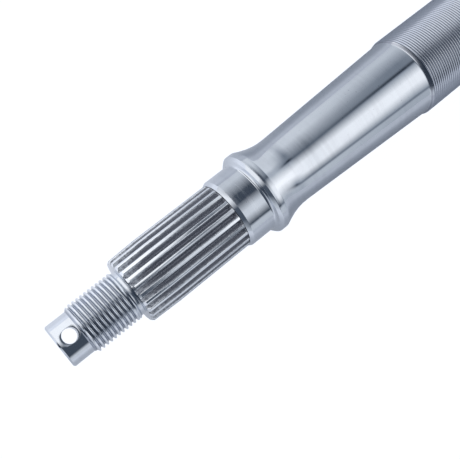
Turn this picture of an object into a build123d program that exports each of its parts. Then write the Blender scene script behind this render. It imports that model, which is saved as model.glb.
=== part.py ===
from build123d import *
from math import acos, cos, pi, radians, sin, tan
import os

# One-piece rear axle shaft of a chain-driven off-road quad, turned and splined steel.
# Millimetres. The axle lies along X with its middle at the origin, and both wheel ends are alike.
# The cotter holes run along Z. Lengths are measured inward from a wheel end.

overall_length = 840.0

# Pilot at the tip, with the cotter hole and the lathe centre
pilot_diameter = 15.6
pilot_length = 7.9
pilot_chamfer = 0.5
cotter_hole_diameter = 5.2
cotter_hole_from_end = 4.7
cotter_hole_off_axis = 0.9
lathe_centre_diameter = 3.6
lathe_centre_drill_diameter = 1.6
lathe_centre_angle = 60.0

# Wheel nut thread, M18 x 1.5, as a plain cylinder of its major diameter
nut_thread_diameter = 18.0
nut_thread_length = 17.9
nut_relief_diameter = 16.8
nut_relief_width = 1.9
nut_relief_fillet = 0.4

# Wheel hub spline: involute flanks down to the form diameter, then one round root.
# Its nose is a nearly flat face, then a chamfer, then a slight taper that leads into the full teeth.
spline_teeth = 24
spline_module = 1.0
spline_pressure_angle = 30.0
spline_outer_diameter = 25.0
spline_form_diameter = 22.6
spline_root_diameter = 22.2
spline_length = 41.3
spline_nose_diameter = 23.0
spline_face_lean = 0.2
spline_chamfer_length = 0.75
spline_chamfer_height = 0.65
spline_taper_length = 11.5
spline_relief_width = 0.25
spline_relief_depth = 0.1

# Collar and flange that stop the wheel hub. The flange's face leans back and ends in a chamfer.
collar_diameter = 26.5
collar_length = 10.8
collar_chamfer_length = 1.25
collar_fillet = 1.5
flange_diameter = 31.4
flange_face_lean = 0.6
flange_chamfer_length = 1.0
flange_chamfer_height = 0.95
flange_rim_width = 2.45
flange_crown_fillet = 2.0

# Flare behind the flange, and the tapered barrel that grows towards the lock nut thread
flare_angle = 22.1
flare_fillet = 24.0
neck_diameter = 25.56
barrel_length = 74.15
barrel_end_diameter = 30.76

# Lock nut thread, M32 x 1, as a plain cylinder of its major diameter behind a short lead-in cone
lock_thread_diameter = 32.0
lock_thread_length = 44.25
lock_lead_in_length = 1.35
lock_lead_in_fillet = 2.0
lock_relief_diameter = 30.2
lock_relief_width = 3.0

# Plain centre of the axle, where bearings and hubs sit
centre_diameter = 34.0

# Places along the axle, counted from the wheel end
nut_thread_end = pilot_length + nut_thread_length
spline_start = nut_thread_end + nut_relief_width
spline_end = spline_start + spline_length
collar_start = spline_end + spline_relief_width
flange_start = collar_start + collar_length
flange_rim = flange_start + flange_face_lean + flange_chamfer_length
flange_corner = flange_rim + flange_rim_width
barrel_end_at = flange_start + barrel_length
lock_thread_start = barrel_end_at + lock_lead_in_length
lock_thread_end = lock_thread_start + lock_thread_length
centre_start = lock_thread_end + lock_relief_width
spline_relief_diameter = spline_root_diameter - 2 * spline_relief_depth


def half_profile():
    """Outline of one half of the axle, above its axis, with the wheel end at the origin."""
    pilot = pilot_diameter / 2
    nut = nut_thread_diameter / 2
    nut_relief = nut_relief_diameter / 2
    nose = spline_nose_diameter / 2
    spline = spline_outer_diameter / 2
    spline_relief = spline_relief_diameter / 2
    collar = collar_diameter / 2
    flange = flange_diameter / 2
    neck = neck_diameter / 2
    barrel_end = barrel_end_diameter / 2
    lock = lock_thread_diameter / 2
    lock_relief = lock_relief_diameter / 2
    centre = centre_diameter / 2
    neck_start = flange_corner + (flange - neck) / tan(radians(flare_angle))
    middle = overall_length / 2
    relief_corner = (spline_start, nut_relief)
    collar_corner = (flange_start, collar)
    flange_crown = (flange_corner, flange)
    neck_corner = (neck_start, neck)
    barrel_corner = (barrel_end_at, barrel_end)
    outline = Polyline(
        (0, 0),
        (0, pilot - pilot_chamfer),
        (pilot_chamfer, pilot),
        (pilot_length, pilot),
        (pilot_length + nut - pilot, nut),
        (nut_thread_end, nut),
        (nut_thread_end + nut - nut_relief, nut_relief),
        relief_corner,
        (spline_start + spline_face_lean, nose),
        (spline_start + spline_face_lean + spline_chamfer_length, nose + spline_chamfer_height),
        (spline_start + spline_taper_length, spline),
        (spline_end, spline),
        (spline_end, spline_relief),
        (collar_start, spline_relief),
        (collar_start, spline),
        (collar_start + collar_chamfer_length, collar),
        collar_corner,
        (flange_start + flange_face_lean, flange - flange_chamfer_height),
        (flange_rim, flange),
        flange_crown,
        neck_corner,
        barrel_corner,
        (lock_thread_start, lock),
        (lock_thread_end - (lock - lock_relief), lock),
        (lock_thread_end, lock_relief),
        (centre_start, lock_relief),
        (centre_start + centre - lock_relief, centre),
        (middle, centre),
        (middle, 0),
        close=True,
    )
    face = make_face(outline)
    rounds = [
        (relief_corner, nut_relief_fillet),
        (collar_corner, collar_fillet),
        (flange_crown, flange_crown_fillet),
        (neck_corner, flare_fillet),
        (barrel_corner, lock_lead_in_fillet),
    ]
    for corner, radius in rounds:
        vertex = face.vertices().sort_by_distance((*corner, 0))[0]
        face = fillet(vertex, radius)
    return face


def involute(angle):
    return tan(angle) - angle


def flank_point(radius, side):
    """Point of a groove's flank at a radius, across the axle. The groove is centred on the first axis."""
    pressure = radians(spline_pressure_angle)
    pitch_radius = spline_module * spline_teeth / 2
    base_radius = pitch_radius * cos(pressure)
    here = acos(base_radius / radius)
    half_space = pi / (2 * spline_teeth) - involute(pressure) + involute(here)
    return (radius * cos(half_space), side * radius * sin(half_space))


def spline_cutter():
    """One groove of the spline as a bar along X, from ahead of the teeth into their relief."""
    form = spline_form_diameter / 2
    tip = spline_outer_diameter / 2 + spline_module / 4
    middle = (form + tip) / 2
    left = [flank_point(radius, -1) for radius in (form, middle, tip)]
    right = [flank_point(radius, 1) for radius in (tip, middle, form)]
    root = (spline_root_diameter / 2, 0)
    outside = left[-1][0] + spline_module
    section = make_face(
        [
            ThreePointArc(*left),
            Polyline(left[-1], (outside, left[-1][1]), (outside, right[0][1]), right[0]),
            ThreePointArc(*right),
            ThreePointArc(right[-1], root, left[0]),
        ]
    )
    bar = extrude(section, spline_length + spline_relief_width / 2)
    return Pos(spline_start, 0, 0) * Rot(0, 90, 0) * bar


def lathe_centre():
    """Centre drilling in the end face. It opens into the cotter hole."""
    mouth = lathe_centre_diameter / 2
    drill = lathe_centre_drill_diameter / 2
    cone_depth = (mouth - drill) / tan(radians(lathe_centre_angle / 2))
    outline = Polyline(
        (0, 0),
        (0, mouth),
        (cone_depth, drill),
        (cotter_hole_from_end, drill),
        (cotter_hole_from_end, 0),
        close=True,
    )
    return revolve(make_face(outline), Axis.X)


def half_axle():
    shaft = revolve(half_profile(), Axis.X)
    groove = spline_cutter()
    pitch = 360 / spline_teeth
    shaft -= [Rot(pitch * (number + 0.5), 0, 0) * groove for number in range(spline_teeth)]
    cotter_hole = Pos(cotter_hole_from_end, cotter_hole_off_axis, 0) * Cylinder(
        cotter_hole_diameter / 2, 2 * pilot_diameter
    )
    shaft -= [cotter_hole, lathe_centre()]
    return Pos(-overall_length / 2, 0, 0) * shaft


def axle_shaft():
    near_half = half_axle()
    far_half = mirror(near_half, about=Plane.YZ)
    return near_half + far_half


os.makedirs("parts", exist_ok=True)
shaft = axle_shaft()
shaft.label = "axle_shaft"
export_step(shaft, "parts/axle_shaft.step")
print("volume", round(shaft.volume), "solids", len(shaft.solids()), "box", shaft.bounding_box())
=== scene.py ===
from math import acos, atan2, ceil, cos, hypot, pi, radians, sin, tan

import bmesh
import bpy
from mathutils import Matrix, Vector


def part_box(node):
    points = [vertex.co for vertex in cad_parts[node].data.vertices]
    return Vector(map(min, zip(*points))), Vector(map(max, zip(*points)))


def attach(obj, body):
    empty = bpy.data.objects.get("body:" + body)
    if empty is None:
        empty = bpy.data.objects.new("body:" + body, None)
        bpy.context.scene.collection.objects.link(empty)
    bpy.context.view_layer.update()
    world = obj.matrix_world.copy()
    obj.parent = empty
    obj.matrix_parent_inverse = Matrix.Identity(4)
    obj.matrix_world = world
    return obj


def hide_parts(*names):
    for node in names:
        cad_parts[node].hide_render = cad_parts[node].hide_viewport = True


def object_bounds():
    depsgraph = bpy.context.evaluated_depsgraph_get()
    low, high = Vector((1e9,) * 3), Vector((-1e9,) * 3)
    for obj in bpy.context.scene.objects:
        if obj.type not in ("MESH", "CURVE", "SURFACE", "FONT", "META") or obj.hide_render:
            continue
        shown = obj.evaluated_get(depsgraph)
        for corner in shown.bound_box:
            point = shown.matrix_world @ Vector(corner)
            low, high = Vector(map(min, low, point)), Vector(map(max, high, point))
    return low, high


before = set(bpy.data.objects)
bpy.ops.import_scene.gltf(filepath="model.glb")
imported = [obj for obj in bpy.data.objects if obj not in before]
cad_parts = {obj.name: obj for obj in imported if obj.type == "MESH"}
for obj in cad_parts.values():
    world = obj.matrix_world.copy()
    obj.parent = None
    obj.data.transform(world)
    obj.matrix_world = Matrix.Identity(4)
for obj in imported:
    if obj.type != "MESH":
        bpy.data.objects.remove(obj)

mm = 0.001
turn = 2 * pi
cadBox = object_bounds()
shaftLow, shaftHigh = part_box("axle_shaft")
halfLength = -shaftLow.x  # from the middle of the axle to a wheel end, in metres
print("frame loaded, CAD box", [round(v / mm, 2) for v in (*cadBox[0], *cadBox[1])])

# The shaft's sizes are in mm. Places are counted inward from the wheel end's face, and sizes across
# are radii. An edge or a fillet is the radius of the arc that rounds a corner.
shaft = {
    "ringSteps": 96,
    "arcStep": 8.0,  # degrees between the points of an arc
    "longestRun": 7.0,
    "weld": 0.0005,
    "samePlace": 0.001,
    "sharpAngle": 28.0,  # degrees
}


def roundedLine(corners):
    # Corners are (x, radius, rounding). A rounding is an arc tangent to both sides of its corner.
    points = []
    for number, (x, radius, rounding) in enumerate(corners):
        corner = Vector((x, radius))
        if not rounding:
            points.append(corner)
            continue
        before = (Vector(corners[number - 1][:2]) - corner).normalized()
        after = (Vector(corners[number + 1][:2]) - corner).normalized()
        half = acos(max(-1.0, min(1.0, before.dot(after)))) / 2
        middle = corner + (before + after).normalized() * rounding / sin(half)
        first = corner + before * rounding / tan(half) - middle
        last = corner + after * rounding / tan(half) - middle
        sweep = first.angle_signed(last)
        steps = max(2, ceil(abs(sweep) / radians(shaft["arcStep"])))
        for step in range(steps + 1):
            points.append(middle + Matrix.Rotation(-sweep * step / steps, 2) @ first)
    return points


def wire(bm, points):
    # points are (x, y, z) in mm
    verts = [bm.verts.new([size * mm for size in point]) for point in points]
    edges = [bm.edges.new(pair) for pair in zip(verts, verts[1:])]
    return verts, edges


def spunBand(bm, points):
    # long runs get extra rings, so that their smooth shading stays true
    rings = points[:1]
    for point in points[1:]:
        before = rings[-1]
        parts = ceil((point - before).length / shaft["longestRun"])
        rings += [before.lerp(point, step / parts) for step in range(1, parts + 1)]
    verts, edges = wire(bm, [(x, 0, radius) for x, radius in rings])
    bmesh.ops.spin(bm, geom=verts + edges, cent=(0, 0, 0), axis=(1, 0, 0), angle=turn,
                   steps=shaft["ringSteps"], use_merge=True)


def threadBand(bm, sizes, envelope):
    # A right-hand helical spin of the thread's outline, held between its ends and under the envelope.
    # At both ends the grooves fade out, so that the band meets its neighbours in plain rings.
    pitch, start, end = sizes["pitch"], sizes["start"], sizes["end"]
    before = ceil((sizes["firstCrest"] - start) / pitch) + 1
    turns = before + ceil((end - sizes["firstCrest"]) / pitch) + 1
    points = []
    for number in range(turns):
        crestAt = sizes["firstCrest"] + (number - before) * pitch
        points += [(crestAt + along, 0, sizes["crest"] - down) for along, down in sizes["outline"]]
    known = set(bm.verts)
    steps = shaft["ringSteps"]
    verts, edges = wire(bm, points)
    bmesh.ops.spin(bm, geom=verts + edges, cent=(0, 0, 0), axis=(1, 0, 0), angle=turn,
                   dvec=(pitch * mm / steps, 0, 0), steps=steps)
    for vert in bm.verts:
        if vert in known:
            continue
        x = min(max(vert.co.x / mm, start), end)
        top = envelope(x)
        radius = min(hypot(vert.co.y, vert.co.z) / mm, top)
        share = min(1, (x - start) / sizes["runIn"], (end - x) / sizes["runOut"])
        radius = top - (top - radius) * share
        angle = atan2(vert.co.y, vert.co.z)
        vert.co = Vector((x, radius * sin(angle), radius * cos(angle))) * mm


def openRing(bm, x):
    return [edge for edge in bm.edges if edge.is_boundary
            and all(abs(vert.co.x / mm - x) < shaft["samePlace"] for vert in edge.verts)]


tip = {
    "radius": 7.8,
    "length": 7.9,
    "endChamfer": 0.5,
    "endEdge": 0.12,
    "cotterRadius": 2.6,
    "cotterFromEnd": 4.7,
    "cotterOffAxis": 0.9,
    "cotterEdge": 0.22,
    "cotterEdgeSteps": 2,
    "cotterSlack": (0.01, 0.02),  # how near a rim's points are to the hole's wall and to the pilot's
    "cutterLength": 31.2,
    "cutterSides": 64,
    "centreMouth": 1.8,
    "centreDrill": 0.8,
    "centreAngle": 60.0,
}


def tipOutline():
    depth = (tip["centreMouth"] - tip["centreDrill"]) / tan(radians(tip["centreAngle"] / 2))
    return roundedLine([
        (tip["cotterFromEnd"], tip["centreDrill"], 0),
        (depth, tip["centreDrill"], 0),
        (0, tip["centreMouth"], 0),
        (0, tip["radius"] - tip["endChamfer"], 0),
        (tip["endChamfer"], tip["radius"], tip["endEdge"]),
        (tip["length"], tip["radius"], 0),
    ])


# A thread's outline is one pitch of (place past the crest, depth under it).
nutThread = {
    "start": 7.9,
    "end": 25.8,
    "crest": 9.0,
    "pitch": 1.546,
    "firstCrest": 9.05,
    "outline": (
        (-0.24, 0.11), (-0.14, 0.025), (0, 0), (0.14, 0.025), (0.24, 0.11), (0.65, 0.9), (0.9, 0.9),
    ),
    "reliefRadius": 8.4,
    "reliefEdge": 0.2,
    "runIn": 0.6,
    "runOut": 0.9,
}


def nutEnvelope(x):
    return min(nutThread["crest"], tip["radius"] + x - nutThread["start"])


spline = {
    "start": 27.7,
    "noseCorner": 27.9,
    "noseRadius": 11.5,
    "noseFillet": 0.4,
    "chamferEnd": 28.65,
    "chamferRadius": 12.15,
    "taperEnd": 39.2,
    "end": 69.0,
    "teeth": 24,
    "module": 1.0,
    "pressureAngle": 30.0,
    "outer": 12.5,
    "form": 11.3,
    "root": 11.1,
    "rootShares": (0.35, 0.7, 1.0),  # points of the round root, as shares of the way to its middle
    "tipRound": 0.11,
    "inner": 10.8,
    "bridge": 0.25,  # between the spun nose and the inner edge of the teeth
    "runOut": 0.7,  # the last length, where the grooves run out upward
    "landDrop": 0.055,
    "grooveLeft": 0.3,  # depth of the grooves where they have run out
    "reliefRadius": 11.0,
    "reliefEnd": 69.15,
}


def involute(angle):
    return tan(angle) - angle


def toothHalf(radius):
    # half the angle that a tooth takes up at a radius
    pressure = radians(spline["pressureAngle"])
    base = spline["module"] * spline["teeth"] / 2 * cos(pressure)
    here = acos(base / radius)
    return pi / (2 * spline["teeth"]) + involute(pressure) - involute(here)


def toothOutline():
    # (angle, radius) from the middle of a land to the middle of a groove
    outer, form, root = spline["outer"], spline["form"], spline["root"]
    halfPitch = pi / spline["teeth"]
    edge = spline["tipRound"]
    landEdge = toothHalf(outer) - edge / outer
    outline = [(0.0, outer), (landEdge, outer)]
    for radius in (outer - edge, (outer + form) / 2, form):
        outline.append((toothHalf(radius), radius))
    formAngle = toothHalf(form)
    for share in spline["rootShares"]:
        angle = formAngle + (halfPitch - formAngle) * share
        outline.append((angle, form - (form - root) * (1 - (1 - share) ** 2)))
    return outline


def noseAt(radius):
    # where the nose of the spline has a radius: a nearly flat face, then a chamfer
    low, high = nutThread["reliefRadius"], spline["noseRadius"]
    first, last = spline["start"], spline["noseCorner"]
    if radius > high:
        low, high = high, spline["chamferRadius"]
        first, last = last, spline["chamferEnd"]
    return first + (radius - low) / (high - low) * (last - first)


def noseOutline():
    thread, relief = nutThread["crest"], nutThread["reliefRadius"]
    top = spline["inner"] - spline["bridge"]
    return roundedLine([
        (nutThread["end"], thread, 0),
        (nutThread["end"] + thread - relief, relief, nutThread["reliefEdge"]),
        (spline["start"], relief, spline["noseFillet"]),
        (noseAt(top), top, 0),
    ])


def splineBand(bm):
    # One tooth, from groove to groove, is lofted through its outlines at seven places along the
    # spline, then spun to 24. At each place a function gives (x, radius) for a point of the outline.
    half = toothOutline()
    tooth = [(-angle, radius) for angle, radius in reversed(half[1:])] + half
    inner, relief, end = spline["inner"], spline["reliefRadius"], spline["end"]
    corner, chamfer = spline["noseRadius"], spline["chamferRadius"]
    lowest = spline["outer"] - spline["grooveLeft"]
    places = [
        lambda radius: (noseAt(inner), inner),
        lambda radius: (noseAt(min(radius, corner)), min(radius, corner)),
        lambda radius: (noseAt(min(radius, chamfer)), min(radius, chamfer)),
        lambda radius: (spline["taperEnd"], radius),
        lambda radius: (end - spline["runOut"], radius),
        lambda radius: (end, max(radius - spline["landDrop"], lowest)),
        lambda radius: (end, relief),
    ]
    sector = bmesh.new()
    rows = []
    for place in places:
        row = []
        for angle, radius in tooth:
            x, here = place(radius)
            row.append((x, here * sin(angle), here * cos(angle)))
        rows.append(wire(sector, row)[1])
    for row, after in zip(rows, rows[1:]):
        bmesh.ops.bridge_loops(sector, edges=row + after)
    bmesh.ops.spin(sector, geom=sector.verts[:] + sector.edges[:] + sector.faces[:], cent=(0, 0, 0),
                   axis=(1, 0, 0), angle=turn * (1 - 1 / spline["teeth"]), steps=spline["teeth"] - 1,
                   use_duplicate=True)
    bmesh.ops.remove_doubles(sector, verts=sector.verts[:], dist=shaft["weld"] * mm)
    mesh = bpy.data.meshes.new("splineTeeth")
    sector.to_mesh(mesh)
    sector.free()
    bm.from_mesh(mesh)
    bpy.data.meshes.remove(mesh)


collar = {
    "radius": 13.25,
    "footEdge": 0.08,
    "chamferEnd": 70.5,
    "chamferEdge": 0.25,
    "faceAt": 80.05,
    "fillet": 1.1,
    "faceTop": (80.65, 14.75),
    "faceEdge": 0.25,
    "flangeStart": 81.65,
    "flangeRadius": 15.7,
    "flangeEdge": 0.35,
    "flangeCorner": 84.1,
    "crownFillet": 1.2,
}

barrel = {
    "flareAngle": 22.1,
    "neckRadius": 12.78,
    "neckFillet": 24.0,
    "end": 154.2,
    "endRadius": 15.38,
}

lockThread = {
    "coneEnd": 155.55,
    "coneFillet": 2.0,
    "start": 155.0,
    "end": 199.8,
    "crest": 16.0,
    "pitch": 1.0,
    "firstCrest": 156.3,
    "outline": ((-0.13, 0.03), (-0.06, 0), (0.06, 0), (0.13, 0.03), (0.5, 0.6)),
    "reliefRadius": 15.1,
    "reliefEnd": 202.8,
    "reliefEdge": 0.3,
    "runIn": 0.3,
    "runOut": 1.2,
}


def coneRadius(x):
    # the slim cone that leads into the lock nut thread
    slope = (lockThread["crest"] - barrel["endRadius"]) / (lockThread["coneEnd"] - barrel["end"])
    return barrel["endRadius"] + (x - barrel["end"]) * slope


def lockEnvelope(x):
    return min(lockThread["crest"], coneRadius(x), lockThread["reliefRadius"] + lockThread["end"] - x)


def barrelOutline():
    slope = tan(radians(barrel["flareAngle"]))
    neckAt = collar["flangeCorner"] + (collar["flangeRadius"] - barrel["neckRadius"]) / slope
    return roundedLine([
        (spline["reliefEnd"], spline["reliefRadius"], 0),
        (spline["reliefEnd"], spline["outer"], collar["footEdge"]),
        (collar["chamferEnd"], collar["radius"], collar["chamferEdge"]),
        (collar["faceAt"], collar["radius"], collar["fillet"]),
        (*collar["faceTop"], collar["faceEdge"]),
        (collar["flangeStart"], collar["flangeRadius"], collar["flangeEdge"]),
        (collar["flangeCorner"], collar["flangeRadius"], collar["crownFillet"]),
        (neckAt, barrel["neckRadius"], barrel["neckFillet"]),
        (barrel["end"], barrel["endRadius"], lockThread["coneFillet"]),
        (lockThread["start"], coneRadius(lockThread["start"]), 0),
    ])


centre = {
    "edge": 0.3,
    "insideBox": 0.002,
    "chamfer": 1.9,
}


def centreOutline(radius):
    relief = lockThread["reliefRadius"]
    return roundedLine([
        (lockThread["end"], relief, 0),
        (lockThread["reliefEnd"], relief, lockThread["reliefEdge"]),
        (lockThread["reliefEnd"] + radius - relief, radius, centre["edge"]),
        (halfLength / mm, radius, 0),
    ])


def wheelEnd(radius):
    # half the axle, from the near wheel end to the middle
    bm = bmesh.new()
    spunBand(bm, tipOutline())
    bmesh.ops.holes_fill(bm, edges=openRing(bm, tip["cotterFromEnd"]), sides=0)
    threadBand(bm, nutThread, nutEnvelope)
    spunBand(bm, noseOutline())
    splineBand(bm)
    spunBand(bm, barrelOutline())
    threadBand(bm, lockThread, lockEnvelope)
    spunBand(bm, centreOutline(radius))
    bmesh.ops.remove_doubles(bm, verts=bm.verts[:], dist=shaft["weld"] * mm)
    for one, other in (
        (noseAt(spline["inner"] - spline["bridge"]), noseAt(spline["inner"])),
        (spline["end"], spline["reliefEnd"]),
    ):
        bmesh.ops.bridge_loops(bm, edges=openRing(bm, one) + openRing(bm, other))
    bmesh.ops.dissolve_degenerate(bm, dist=shaft["weld"] * mm, edges=bm.edges[:])
    bmesh.ops.translate(bm, verts=bm.verts[:], vec=(-halfLength, 0, 0))
    return bm


def shaftMesh():
    bm = wheelEnd(min(shaftHigh.y, shaftHigh.z) / mm - centre["insideBox"])
    copy = bmesh.ops.duplicate(bm, geom=bm.verts[:] + bm.edges[:] + bm.faces[:])["geom"]
    copied = [item for item in copy if isinstance(item, bmesh.types.BMVert)]
    bmesh.ops.rotate(bm, verts=copied, cent=(0, 0, 0), matrix=Matrix.Rotation(pi, 3, "Y"))
    bmesh.ops.remove_doubles(bm, verts=bm.verts[:], dist=shaft["weld"] * mm)
    bmesh.ops.recalc_face_normals(bm, faces=bm.faces[:])
    mesh = bpy.data.meshes.new("axleShaft")
    bm.to_mesh(mesh)
    openEdges = sum(not edge.is_manifold for edge in bm.edges)
    print("shaft mesh", len(mesh.polygons), "faces, open edges", openEdges)
    bm.free()
    return mesh


def cotterCutter():
    bm = bmesh.new()
    radius = tip["cotterRadius"] * mm
    fromMiddle = halfLength - tip["cotterFromEnd"] * mm
    for side in (-1, 1):
        place = Matrix.Translation((side * fromMiddle, tip["cotterOffAxis"] * mm, 0))
        bmesh.ops.create_cone(bm, cap_ends=True, segments=tip["cutterSides"], radius1=radius,
                              radius2=radius, depth=tip["cutterLength"] * mm, matrix=place)
    mesh = bpy.data.meshes.new("cotterCutter")
    bm.to_mesh(mesh)
    bm.free()
    cutter = bpy.data.objects.new("cotterCutter", mesh)
    bpy.context.scene.collection.objects.link(cutter)
    return cutter


def drillCotterHoles(piece):
    cutter = cotterCutter()
    cut = piece.modifiers.new("cotterHoles", "BOOLEAN")
    cut.operation = "DIFFERENCE"
    cut.solver = "EXACT"
    cut.object = cutter
    graph = bpy.context.evaluated_depsgraph_get()
    drilled = bpy.data.meshes.new_from_object(piece.evaluated_get(graph))
    piece.modifiers.clear()
    used = [piece.data, cutter.data]
    piece.data = drilled
    bpy.data.objects.remove(cutter)
    for mesh in used:
        bpy.data.meshes.remove(mesh)
    drilled.name = "axleShaft"


def onCotterRim(vert):
    holeSlack, pilotSlack = tip["cotterSlack"]
    along = abs(vert.co.x) - halfLength + tip["cotterFromEnd"] * mm
    fromHole = hypot(along, vert.co.y - tip["cotterOffAxis"] * mm) / mm
    fromAxis = hypot(vert.co.y, vert.co.z) / mm
    return abs(fromHole - tip["cotterRadius"]) < holeSlack and abs(fromAxis - tip["radius"]) < pilotSlack


def roundCotterRims(mesh):
    bm = bmesh.new()
    bm.from_mesh(mesh)
    rims = [edge for edge in bm.edges if all(onCotterRim(vert) for vert in edge.verts)]
    bmesh.ops.bevel(bm, geom=rims, offset=tip["cotterEdge"] * mm, affect="EDGES",
                    segments=tip["cotterEdgeSteps"], profile=0.5, material=-1, clamp_overlap=True)
    bmesh.ops.triangulate(bm, faces=[face for face in bm.faces if len(face.verts) > 4])
    openEdges = sum(not edge.is_manifold for edge in bm.edges)
    print("cotter rim edges", len(rims), "open edges", openEdges)
    bm.to_mesh(mesh)
    bm.free()


def nodeAt(tree, kind, x, y, **values):
    node = tree.nodes.new(kind)
    node.location = (x, y)
    for name, value in values.items():
        setattr(node, name, value)
    return node


def feed(tree, sockets, values):
    # each value is linked when it is a socket, and written when it is a number or a colour
    for socket, value in zip(sockets, values):
        if isinstance(value, bpy.types.NodeSocket):
            tree.links.new(value, socket)
        else:
            socket.default_value = value


def maths(tree, operation, *values, x=0, y=0):
    node = nodeAt(tree, "ShaderNodeMath", x, y, operation=operation)
    feed(tree, node.inputs, values)
    return node.outputs[0]


def mixed(tree, factor, one, two, x=0, y=0):
    # a Mix node has its colour sockets after those for numbers and vectors
    node = nodeAt(tree, "ShaderNodeMix", x, y, data_type="RGBA")
    feed(tree, (node.inputs[0], node.inputs[6], node.inputs[7]), (factor, one, two))
    return node.outputs[2]


def smoothStep(tree, value, low, high, x=0, y=0):
    node = nodeAt(tree, "ShaderNodeMapRange", x, y, interpolation_type="SMOOTHSTEP")
    feed(tree, node.inputs, (value, low, high))
    return node.outputs[0]


def ramp(tree, factor, stops, x=0, y=0):
    node = nodeAt(tree, "ShaderNodeValToRGB", x, y)
    tree.links.new(factor, node.inputs["Fac"])
    band = node.color_ramp
    band.elements.remove(band.elements[-1])
    band.elements[0].position, band.elements[0].color = stops[0][0], (*stops[0][1], 1)
    for position, colour in stops[1:]:
        band.elements.new(position).color = (*colour, 1)
    return node.outputs["Color"]


def noise(tree, place, scale, detail, x, y, w=None):
    node = nodeAt(tree, "ShaderNodeTexNoise", x, y, noise_dimensions="3D" if w is None else "4D")
    tree.links.new(place, node.inputs["Vector"])
    if w is not None:
        tree.links.new(w, node.inputs["W"])
    node.inputs["Scale"].default_value = scale
    node.inputs["Detail"].default_value = detail
    return node.outputs[0]


def groupTree(name, takes, gives):
    tree = bpy.data.node_groups.new(name, "ShaderNodeTree")
    for label, value in takes.items():
        socket = tree.interface.new_socket(label, in_out="INPUT", socket_type="NodeSocketFloat")
        socket.default_value = value
    for label in gives:
        tree.interface.new_socket(label, in_out="OUTPUT", socket_type="NodeSocketFloat")
    taken = nodeAt(tree, "NodeGroupInput", -1400, -300)
    given = nodeAt(tree, "NodeGroupOutput", 1000, 0)
    return tree, taken.outputs, given.inputs


def useGroup(tree, name, x, y, **values):
    node = nodeAt(tree, "ShaderNodeGroup", x, y, node_tree=bpy.data.node_groups[name])
    for label, value in values.items():
        node.inputs[label].default_value = value
    return node.outputs


def placeInMm(tree):
    place = nodeAt(tree, "ShaderNodeTexCoord", -2400, 0)
    scaled = nodeAt(tree, "ShaderNodeVectorMath", -2200, 0, operation="SCALE")
    tree.links.new(place.outputs["Object"], scaled.inputs[0])
    scaled.inputs["Scale"].default_value = 1 / mm
    return scaled.outputs[0]


def aboutAxle(tree, place):
    # a place's parts, how far it is from the nearer wheel end, and how far from the axis, all in mm
    parts = nodeAt(tree, "ShaderNodeSeparateXYZ", -2000, 0)
    tree.links.new(place, parts.inputs[0])
    fromMiddle = maths(tree, "ABSOLUTE", parts.outputs["X"], x=-1800, y=100)
    along = maths(tree, "SUBTRACT", halfLength / mm, fromMiddle, x=-1600, y=100)
    ySquare = maths(tree, "MULTIPLY", parts.outputs["Y"], parts.outputs["Y"], x=-1800, y=-100)
    square = maths(tree, "MULTIPLY_ADD", parts.outputs["Z"], parts.outputs["Z"], ySquare, x=-1600, y=-100)
    across = maths(tree, "SQRT", square, x=-1400, y=-100)
    return parts.outputs, along, across


# The density is a share of a finish's own marks per mm. A row is only a height in the node editor.
turningMarks = {
    "Marks": {"density": 1.0, "roundRing": 0.12, "detail": 3.0, "row": 200},
    "Tone": {"density": 0.3, "roundRing": 0.03, "detail": 2.0, "row": -300},
    "fade": (0.3, 0.7),
}


def turningMarksGroup():
    # rings round the axle, which fade in and out slowly on their way round
    tree, taken, given = groupTree("turningMarks", {"PerMm": 2.0}, ["Marks", "Tone"])
    parts, along, across = aboutAxle(tree, placeInMm(tree))
    for label in ("Marks", "Tone"):
        look = turningMarks[label]
        row, slow = look["row"], look["roundRing"]
        density = maths(tree, "MULTIPLY", taken["PerMm"], look["density"], x=-1200, y=row - 200)
        ring = nodeAt(tree, "ShaderNodeCombineXYZ", -600, row)
        feed(tree, ring.inputs, (
            maths(tree, "MULTIPLY", along, density, x=-900, y=row),
            maths(tree, "MULTIPLY", parts["Y"], slow, x=-900, y=row - 150),
            maths(tree, "MULTIPLY", parts["Z"], slow, x=-900, y=row - 300),
        ))
        w = maths(tree, "MULTIPLY", across, density, x=-600, y=row - 200)
        marks = noise(tree, ring.outputs[0], 1.0, look["detail"], -400, row, w)
        tree.links.new(smoothStep(tree, marks, *turningMarks["fade"], x=-200, y=row), given[label])


steelGrain = {
    "cloudScale": 0.14,
    "cloudDetail": 4.0,
    "cloudFade": (0.35, 0.65),
    "grainScale": 3.1,
    "grainDetail": 3.0,
    "speckScale": 1.7,
    "speckDetail": 1.0,
    "speckFade": (0.74, 0.8),
    "speckDark": 0.5,
}


def steelGrainGroup():
    # slow clouds, fine grain, and a few small dark specks
    tree, _, given = groupTree("steelGrain", {}, ["Cloud", "Grain", "Specks"])
    place = placeInMm(tree)
    cloud = noise(tree, place, steelGrain["cloudScale"], steelGrain["cloudDetail"], -600, 200)
    tree.links.new(smoothStep(tree, cloud, *steelGrain["cloudFade"], x=-300, y=200), given["Cloud"])
    grain = noise(tree, place, steelGrain["grainScale"], steelGrain["grainDetail"], -600, -100)
    tree.links.new(grain, given["Grain"])
    specks = noise(tree, place, steelGrain["speckScale"], steelGrain["speckDetail"], -600, -400)
    tree.links.new(smoothStep(tree, specks, *steelGrain["speckFade"], x=-300, y=-400), given["Specks"])


# patches that break up the painted shade in the grooves
grooveGrime = {
    "patchScale": 3.4,
    "patchDetail": 3.0,
    "patchMiddle": 0.5,
    "patchShare": 0.6,
}


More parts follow.
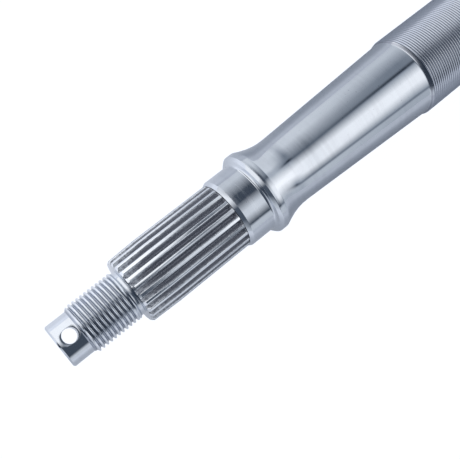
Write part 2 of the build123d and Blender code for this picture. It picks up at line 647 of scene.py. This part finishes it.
def grooveGrimeGroup():
    # Painted shade in the grooves: a grey that thickens below the land, in patches. The land is a plain
    # radius, or what a taper and a chamfer that meet at the bend leave of it.
    tree, taken, given = groupTree("grooveGrime", {
        "Land": 0.0, "Deep": 1.0, "BendRadius": 100.0, "BendAt": 0.0, "Taper": 0.0, "Chamfer": 0.0,
    }, ["Grime"])
    place = placeInMm(tree)
    along, across = aboutAxle(tree, place)[1:]
    fromBend = maths(tree, "SUBTRACT", along, taken["BendAt"], x=-1100, y=200)
    taper = maths(tree, "MULTIPLY_ADD", fromBend, taken["Taper"], taken["BendRadius"], x=-900, y=200)
    chamfer = maths(tree, "MULTIPLY_ADD", fromBend, taken["Chamfer"], taken["BendRadius"], x=-900, y=400)
    land = maths(tree, "MINIMUM", chamfer, taken["Land"], x=-700, y=400)
    land = maths(tree, "MINIMUM", taper, land, x=-600, y=200)
    below = maths(tree, "SUBTRACT", land, across, x=-500, y=200)
    below = maths(tree, "DIVIDE", below, taken["Deep"], x=-300, y=200)
    patch = noise(tree, place, grooveGrime["patchScale"], grooveGrime["patchDetail"], -500, -100)
    patch = maths(tree, "SUBTRACT", patch, grooveGrime["patchMiddle"], x=-300, y=-100)
    below = maths(tree, "MULTIPLY_ADD", patch, grooveGrime["patchShare"], below, x=-100, y=100)
    tree.links.new(smoothStep(tree, below, 0.0, 1.0, x=100, y=100), given["Grime"])


edgeWear = {
    "edgeFade": (0.51, 0.56),
    "patchScale": 0.9,
    "patchDetail": 3.0,
    "patchFade": (0.3, 0.6),
    "rougher": -0.03,
}


def edgeWearGroup():
    # where handling has rubbed the outer edges bright
    tree, _, given = groupTree("edgeWear", {}, ["Wear"])
    shape = nodeAt(tree, "ShaderNodeNewGeometry", -600, 200)
    edge = smoothStep(tree, shape.outputs["Pointiness"], *edgeWear["edgeFade"], x=-300, y=200)
    patch = noise(tree, placeInMm(tree), edgeWear["patchScale"], edgeWear["patchDetail"], -600, -100)
    patch = smoothStep(tree, patch, *edgeWear["patchFade"], x=-300, y=-100)
    tree.links.new(maths(tree, "MULTIPLY", edge, patch, x=0, y=100), given["Wear"])


# Finishes of the steel. Marks are the fine rings that turning or grinding leaves. Depths are in mm.
# Painted shade lies in the grooves, below the land's radius. The spline's land has a taper and a chamfer
# at its nose, which meet at the bend. The other finishes have their bend far outside the steel.
plainSteel = {
    "from": 0,
    "to": 0,
    "colour": (0.615, 0.65, 0.70),
    "dull": (0.58, 0.61, 0.66),
    "roughness": 0.06,
    "marksPerMm": 2.0,
    "marksDeep": 0.0003,
    "marksRough": 0.04,
    "grainDeep": 0.0003,
    "land": 0.0,
    "shadeDeep": 1.0,
    # the colour of the painted shade in the grooves
    "paintedShade": (0.2, 0.21, 0.235),
    "shadeRough": 0.2,
    "bendRadius": 100.0,
    "bendAt": 0.0,
    "taper": 0.0,
    "chamfer": 0.0,
}

# The first finish is on all that the others leave.
finishes = [
    {**plainSteel, "name": "turnedSteel"},
    {
        **plainSteel,
        "name": "nutThreadSteel",
        "from": nutThread["start"],
        "to": nutThread["end"],
        "colour": (0.78, 0.81, 0.85),
        "roughness": 0.09,
        "marksPerMm": 4.0,
        "land": nutThread["crest"] - 0.25,
        "shadeDeep": 0.6,
        "paintedShade": (0.36, 0.39, 0.45),
        "shadeRough": 0.05,
    },
    {
        **plainSteel,
        "name": "splineSteel",
        "from": spline["noseCorner"],
        "to": spline["end"] + shaft["samePlace"],
        "colour": (0.74, 0.77, 0.81),
        "roughness": 0.12,
        "marksPerMm": 3.0,
        "grainDeep": 0.002,
        "land": spline["outer"] - 0.05,
        "shadeDeep": 0.12,
        "paintedShade": (0.27, 0.285, 0.33),
        "shadeRough": 0.5,
        "bendRadius": spline["chamferRadius"] - 0.06,
        "bendAt": spline["chamferEnd"],
        "taper": ((spline["outer"] - spline["chamferRadius"])
                  / (spline["taperEnd"] - spline["chamferEnd"])),
        "chamfer": ((spline["chamferRadius"] - spline["noseRadius"])
                    / (spline["chamferEnd"] - spline["noseCorner"])),
    },
    {
        **plainSteel,
        "name": "groundCollar",
        "from": collar["chamferEnd"],
        "to": collar["faceAt"] - 1,
        "marksPerMm": 2.2,
        "marksDeep": 0.0022,
    },
    {
        **plainSteel,
        "name": "shadedLeadInCone",
        "from": barrel["end"] + 0.15,
        "to": lockThread["start"],
        # painted shade: the cone's dark band is painted into this darker steel colour
        "colour": (0.44, 0.46, 0.52),
        "dull": (0.38, 0.40, 0.45),
        "roughness": 0.2,
        "marksPerMm": 5.0,
    },
    {
        **plainSteel,
        "name": "lockThreadSteel",
        "from": lockThread["start"],
        "to": lockThread["end"],
        "colour": (0.52, 0.55, 0.61),
        "dull": (0.49, 0.52, 0.58),
        "roughness": 0.1,
        "marksPerMm": 5.0,
        "land": lockThread["crest"] - 0.28,
        "shadeDeep": 0.25,
        "paintedShade": (0.1, 0.11, 0.135),
    },
    {
        **plainSteel,
        "name": "groundCentre",
        "from": lockThread["reliefEnd"] + centre["chamfer"],
        "to": halfLength / mm,
        "marksPerMm": 1.5,
    },
]


def steelMaterial(look):
    material = bpy.data.materials.new(look["name"])
    material.use_nodes = True
    tree = material.node_tree
    shader = tree.nodes["Principled BSDF"]
    shader.inputs["Metallic"].default_value = 1.0
    marks = useGroup(tree, "turningMarks", -1400, 300, PerMm=look["marksPerMm"])
    grain = useGroup(tree, "steelGrain", -1400, 0)
    wear = useGroup(tree, "edgeWear", -1400, -250)
    paintedShade = useGroup(tree, "grooveGrime", -1400, -450, Land=look["land"], Deep=look["shadeDeep"],
                     BendRadius=look["bendRadius"], BendAt=look["bendAt"], Taper=look["taper"],
                     Chamfer=look["chamfer"])
    colour, dull, dark = ((*look[part], 1) for part in ("colour", "dull", "paintedShade"))
    tone = maths(tree, "MULTIPLY", marks["Tone"], grain["Cloud"], x=-1150, y=300)
    steel = mixed(tree, tone, colour, dull, x=-900, y=300)
    # the grooves darken towards this colour: painted shade
    steel = mixed(tree, paintedShade["Grime"], steel, dark, x=-700, y=300)
    steel = mixed(tree, wear["Wear"], steel, colour, x=-500, y=300)
    specks = maths(tree, "MULTIPLY", grain["Specks"], steelGrain["speckDark"], x=-700, y=50)
    steel = mixed(tree, specks, steel, dark, x=-300, y=300)
    tree.links.new(steel, shader.inputs["Base Color"])
    rough = look["roughness"]
    for number, (mask, more) in enumerate((
        (marks["Marks"], look["marksRough"]),
        (paintedShade["Grime"], look["shadeRough"]),
        (wear["Wear"], edgeWear["rougher"]),
    )):
        rough = maths(tree, "MULTIPLY_ADD", mask, more, rough, x=-900 + 200 * number, y=-100)
    tree.links.new(rough, shader.inputs["Roughness"])
    height = maths(tree, "MULTIPLY", marks["Marks"], look["marksDeep"], x=-900, y=-300)
    height = maths(tree, "MULTIPLY_ADD", grain["Grain"], look["grainDeep"], height, x=-700, y=-300)
    bump = nodeAt(tree, "ShaderNodeBump", -300, -300)
    bump.inputs["Distance"].default_value = mm
    tree.links.new(height, bump.inputs["Height"])
    tree.links.new(bump.outputs[0], shader.inputs["Normal"])
    return material


def finishAt(middle):
    # which finish a face has, by its distance from the nearer wheel end
    x = (halfLength - abs(middle.x)) / mm
    for number, look in enumerate(finishes):
        if look["from"] < x < look["to"]:
            return number
    return 0


def makeShaft():
    piece = bpy.data.objects.new("axleShaft", shaftMesh())
    bpy.context.scene.collection.objects.link(piece)
    drillCotterHoles(piece)
    roundCotterRims(piece.data)
    for build in (turningMarksGroup, steelGrainGroup, grooveGrimeGroup, edgeWearGroup):
        build()
    for look in finishes:
        piece.data.materials.append(steelMaterial(look))
    for polygon in piece.data.polygons:
        polygon.use_smooth = True
        polygon.material_index = finishAt(polygon.center)
    piece.data.set_sharp_from_angle(angle=radians(shaft["sharpAngle"]))
    print("shaft dressed in", len(finishes), "finishes")
    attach(piece, "root")
    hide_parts("axle_shaft")


# Sizes in metres. The camera sees white paper. In reflections the floor carries a painted shadow near the
# axle, is brighter far away from it, and carries a painted pool of light round the tip and past it, most
# of all on the tip's +Y side.
floor = {
    "drop": 0.0004,
    "size": 6.0,
    "paper": (0.6, 0.64, 0.71),
    "whiteForCamera": 0.88,
    "white": (0.95, 0.98, 1.06),
    "whiteStrength": 1.17,
    "shadowedGloss": 0.02,
    "glossFar": 0.36,
    "farAway": (0.02, 0.13),
    "tipPoolGloss": 0.28,
    "tipSidePoolGloss": 0.46,
    "tipAlong": (-0.29, -0.375),
    "tipBeside": (-0.01, 0.03),
}


def floorMaterial():
    material = bpy.data.materials.new("paleFloor")
    material.use_nodes = True
    tree = material.node_tree
    tree.nodes.clear()
    place = nodeAt(tree, "ShaderNodeTexCoord", -1600, -200)
    parts = nodeAt(tree, "ShaderNodeSeparateXYZ", -1400, -200)
    tree.links.new(place.outputs["Object"], parts.inputs[0])
    # painted shadow: what reflections see of the floor is dimmer near the axle
    beside = maths(tree, "ABSOLUTE", parts.outputs["Y"], x=-1200, y=-200)
    away = smoothStep(tree, beside, *floor["farAway"], x=-1000, y=-200)
    gloss = maths(tree, "MULTIPLY_ADD", away, floor["glossFar"], floor["shadowedGloss"], x=-800, y=-200)
    # painted pool of light round the tip and past it, most of all on its +Y side
    atSide = smoothStep(tree, parts.outputs["Y"], *floor["tipBeside"], x=-1200, y=-650)
    more = maths(tree, "MULTIPLY_ADD", atSide, floor["tipSidePoolGloss"], floor["tipPoolGloss"], x=-1000, y=-650)
    atTip = smoothStep(tree, parts.outputs["X"], *floor["tipAlong"], x=-1200, y=-400)
    gloss = maths(tree, "MULTIPLY_ADD", atTip, more, gloss, x=-600, y=-200)
    path = nodeAt(tree, "ShaderNodeLightPath", -800, 200)
    mirrored, through = path.outputs["Is Glossy Ray"], path.outputs["Is Transmission Ray"]
    looking = path.outputs["Is Camera Ray"]
    seen = maths(tree, "MAXIMUM", mirrored, through, x=-600)
    seen = maths(tree, "MULTIPLY", seen, gloss, x=-400)
    seen = maths(tree, "MULTIPLY_ADD", looking, floor["whiteForCamera"], seen, x=-200)
    paint = nodeAt(tree, "ShaderNodeBsdfDiffuse", -200, -150)
    paint.inputs["Color"].default_value = (*floor["paper"], 1)
    glow = nodeAt(tree, "ShaderNodeEmission", -200, -300)
    glow.inputs["Color"].default_value = (*floor["white"], 1)
    glow.inputs["Strength"].default_value = floor["whiteStrength"]
    mix = nodeAt(tree, "ShaderNodeMixShader", 50, 50)
    feed(tree, mix.inputs, (seen, paint.outputs[0], glow.outputs[0]))
    out = nodeAt(tree, "ShaderNodeOutputMaterial", 250, 50)
    tree.links.new(mix.outputs[0], out.inputs["Surface"])
    return material


def makeFloor():
    bm = bmesh.new()
    place = Matrix.Translation((0, 0, cadBox[0].z - floor["drop"]))
    bmesh.ops.create_grid(bm, x_segments=1, y_segments=1, size=floor["size"] / 2, matrix=place)
    mesh = bpy.data.meshes.new("floor")
    bm.to_mesh(mesh)
    bm.free()
    piece = bpy.data.objects.new("floor", mesh)
    bpy.context.scene.collection.objects.link(piece)
    mesh.materials.append(floorMaterial())


# Studio light round the axle. Degrees are counted round it, 0 straight up and positive towards +Y.
# Reach is a direction's part along +X, from -1 to 1. For each reach there are a few soft boxes:
# (from, to, level, degrees over which each end fades), and the level of the gaps between them.
# The cast turns a level into a colour, by a (scale, power) for each of red, green and blue.
studio = {
    "reach": [
        (-0.985, "beyondTip"), (-0.93, "besideTip"), (-0.6, "besideTip"), (-0.34, "beforeTip"),
        (-0.24, "beforeTip"), (-0.04, "overTip"), (0.125, "overTip"), (0.155, "overSpline"),
        (0.2, "overSpline"), (0.25, "overCollar"), (0.32, "overCollar"), (0.35, "overNeck"),
        (0.48, "overBarrel"), (0.6, "overFlare"), (0.85, "beyond"),
    ],
    "beyondTip": {"gap": 0.06, "side": (-180, -58, 0.8, 50), "key": (94, 180, 1.1, 36)},
    "besideTip": {"gap": 0.13, "side": (-180, -66, 0.78, 36), "key": (16, 180, 1.28, 36)},
    "beforeTip": {"gap": 0.07, "side": (-180, -79, 0.65, 12), "key": (66, 180, 0.85, 24)},
    "overTip": {"gap": 0.1, "side": (-180, -72, 0.85, 14), "key": (6, 180, 1.4, 32)},
    "overSpline": {
        "gap": 0.35,
        "side": (-180, -70, 0.78, 10),
        "front": (-52, -10, 0.92, 24),
        "key": (14, 180, 1.2, 26),
    },
    "overCollar": {
        "gap": 0.09,
        "side": (-180, -70, 0.78, 8),
        "front": (-52, -8, 0.95, 30),
        "top": (50, 180, 0.86, 44),
    },
    "overNeck": {
        "gap": 0.2,
        "side": (-180, -69, 0.76, 6),
        "front": (-58, -2, 1.3, 26),
        "top": (36, 180, 0.95, 50),
    },
    "overBarrel": {
        "gap": 0.04,
        "side": (-180, -69, 0.6, 8),
        "front": (-50, -3, 1.33, 28),
        "frontFrame": (-66, 10.5, 0.5, 5),
        "fill": (18, 180, 0.29, 6),
        "top": (56, 180, 0.78, 40),
    },
    "overFlare": {
        "gap": 0.12,
        "side": (-180, -70, 0.65, 10),
        "front": (-50, -4, 1.42, 32),
        "frontFrame": (-62, 11, 0.5, 6),
        "fill": (16, 180, 0.35, 8),
        "top": (42, 180, 0.93, 56),
    },
    "beyond": {
        "gap": 0.65,
        "side": (-180, -88, 0.75, 10),
        "front": (-62, -2, 1.48, 50),
        "top": (24, 180, 0.94, 24),
    },
    "cast": ((0.955, 1.12), (0.985, 1.03), (1.03, 0.92)),
}


def castOf(level):
    # the bright boxes are neutral and the dim gaps bluish
    return tuple(scale * level ** power for scale, power in studio["cast"])


def boxLevel(box, angle):
    # a box has half its level at its ends, and all of it at an end straight below the axle
    low, high, level, fade = box
    rising = 0.5 + (angle - low) / fade if low > -180 else 1
    falling = 0.5 + (high - angle) / fade if high < 180 else 1
    return level * min(1, rising, falling)


def lightStops(rig):
    # the rig's light at each angle where a box starts or ends its fading
    boxes = [box for name, box in rig.items() if name != "gap"]
    angles = {-180, 180}
    for low, high, _, fade in boxes:
        angles |= {low - fade / 2, low + fade / 2, high - fade / 2, high + fade / 2}
    stops = []
    for angle in sorted(angle for angle in angles if -180 <= angle <= 180):
        level = max(rig["gap"], *(boxLevel(box, angle) for box in boxes))
        stops.append((angle / 360 + 0.5, castOf(level)))
    return stops


def makeWorld():
    world = bpy.data.worlds.new("studio")
    bpy.context.scene.world = world
    world.use_nodes = True
    tree = world.node_tree
    tree.nodes.clear()
    place = nodeAt(tree, "ShaderNodeTexCoord", -1200, 0)
    parts = nodeAt(tree, "ShaderNodeSeparateXYZ", -1000, 0)
    tree.links.new(place.outputs["Generated"], parts.inputs[0])
    angle = maths(tree, "ARCTAN2", parts.outputs["Y"], parts.outputs["Z"], x=-800)
    share = maths(tree, "MULTIPLY_ADD", angle, 1 / turn, 0.5, x=-600)
    light = before = None
    for number, (reach, boxes) in enumerate(studio["reach"]):
        here = ramp(tree, share, lightStops(studio[boxes]), x=-400, y=-250 * number)
        if light:
            blend = nodeAt(tree, "ShaderNodeMapRange", -100, 600 - 200 * number)
            feed(tree, blend.inputs, (parts.outputs["X"], before, reach))
            here = mixed(tree, blend.outputs[0], light, here, x=200 * number, y=0)
        light, before = here, reach
    # the camera sees a white room past the floor, and not the soft boxes
    path = nodeAt(tree, "ShaderNodeLightPath", 3200, 300)
    light = mixed(tree, path.outputs["Is Camera Ray"], light, (1, 1, 1, 1), x=3400, y=0)
    back = nodeAt(tree, "ShaderNodeBackground", 3600, 0)
    tree.links.new(light, back.inputs["Color"])
    out = nodeAt(tree, "ShaderNodeOutputWorld", 3800, 0)
    tree.links.new(back.outputs[0], out.inputs["Surface"])


# Metres, degrees, and mm for the lens and the sensor.
camera = {
    "aboveAxis": 0.23903,
    "pastTip": 0.00105,
    "turn": (9.294, -13.125, -39.474),
    "lens": 57.52,
    "sensor": 36.0,
    "nearest": 0.01,
    "farthest": 20,
}


def makeCamera():
    data = bpy.data.cameras.new("camera")
    data.sensor_width = camera["sensor"]
    data.lens = camera["lens"]
    data.clip_start = camera["nearest"]
    data.clip_end = camera["farthest"]
    piece = bpy.data.objects.new("camera", data)
    bpy.context.scene.collection.objects.link(piece)
    piece.location = (-halfLength - camera["pastTip"], 0, camera["aboveAxis"])
    piece.rotation_euler = [radians(value) for value in camera["turn"]]
    bpy.context.scene.camera = piece


makeShaft()
makeFloor()
makeWorld()
makeCamera()
print("floor, studio light and camera are in place")
bpy.context.scene.view_settings.view_transform = "Standard"
bpy.context.view_layer.update()
